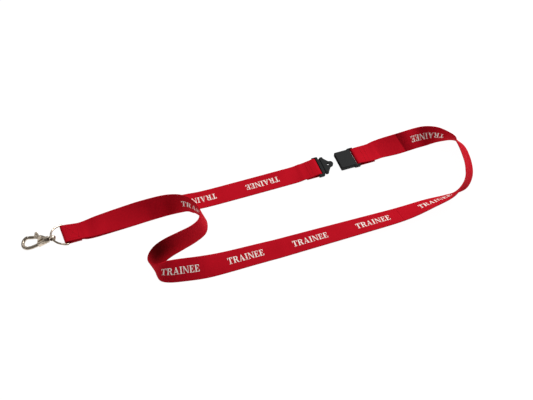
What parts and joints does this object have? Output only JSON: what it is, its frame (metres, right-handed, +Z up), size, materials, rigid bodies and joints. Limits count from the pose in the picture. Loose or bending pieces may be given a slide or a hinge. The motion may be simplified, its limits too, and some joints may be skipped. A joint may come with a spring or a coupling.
{
  "type": "lanyard",
  "caption": "Flat woven neck lanyard with a breakaway side buckle, a sewn end, a D-ring and a swivel lobster hook, lying open.",
  "frame": {"origin": "on the surface the lanyard lies on, under the middle of the sewn patch", "axes": "+X along the short strap from the sewn end to the buckle, +Z up from the surface"},
  "size_m": [0.4312, 0.1011, 0.0213],
  "materials": {
    "webbing": "woven polyester, matt",
    "nickel_plate": "warm nickel plate",
    "spring_wire": "bright spring wire",
    "black_plastic": "moulded, satin",
    "white_ink": "screen print",
    "red_thread": "sewing thread"
  },
  "bodies": {
    "straps": {"strap_long": "webbing", "strap_short": "webbing", "buckle_plug": "black_plastic"},
    "ring": {"d_ring": "nickel_plate"},
    "eye": {"swivel_eye": "nickel_plate"},
    "hook": {"hook_body": "nickel_plate", "lever_pin": "nickel_plate", "lever_spring": "spring_wire"},
    "lever": {"hook_lever": "nickel_plate"},
    "socket": {"buckle_socket": "black_plastic"}
  },
  "joints": [
    {"name": "ring_swing", "type": "hinge", "parent": "straps", "child": "ring", "pos_m": [-0.0047, 0.0008, 0.0023], "axis": [-0.1045, 0.9945, 0], "range_deg": [-70, 45]},
    {"name": "eye_swing", "type": "hinge", "parent": "ring", "child": "eye", "pos_m": [-0.01627, -0.00223, 0.00637], "axis": [-0.1045, 0.9945, 0], "range_deg": [-60, 60]},
    {"name": "hook_swivel", "type": "hinge", "parent": "eye", "child": "hook", "pos_m": [-0.01578, -0.00229, 0.00645], "axis": [0.9764, -0.1372, 0.1668], "continuous": true},
    {"name": "lever_open", "type": "hinge", "parent": "hook", "child": "lever", "pos_m": [-0.02388, 0.00201, 0.00499], "axis": [-0.1651, 0.0232, 0.986], "range_deg": [0, 22], "stiffness_Nm_per_rad": 0.01},
    {"name": "buckle_join", "type": "slide", "parent": "straps", "child": "socket", "axis": [-1, 0, 0], "range_m": [0, 0.0122], "deforming": ["strap_long"]}
  ]
}
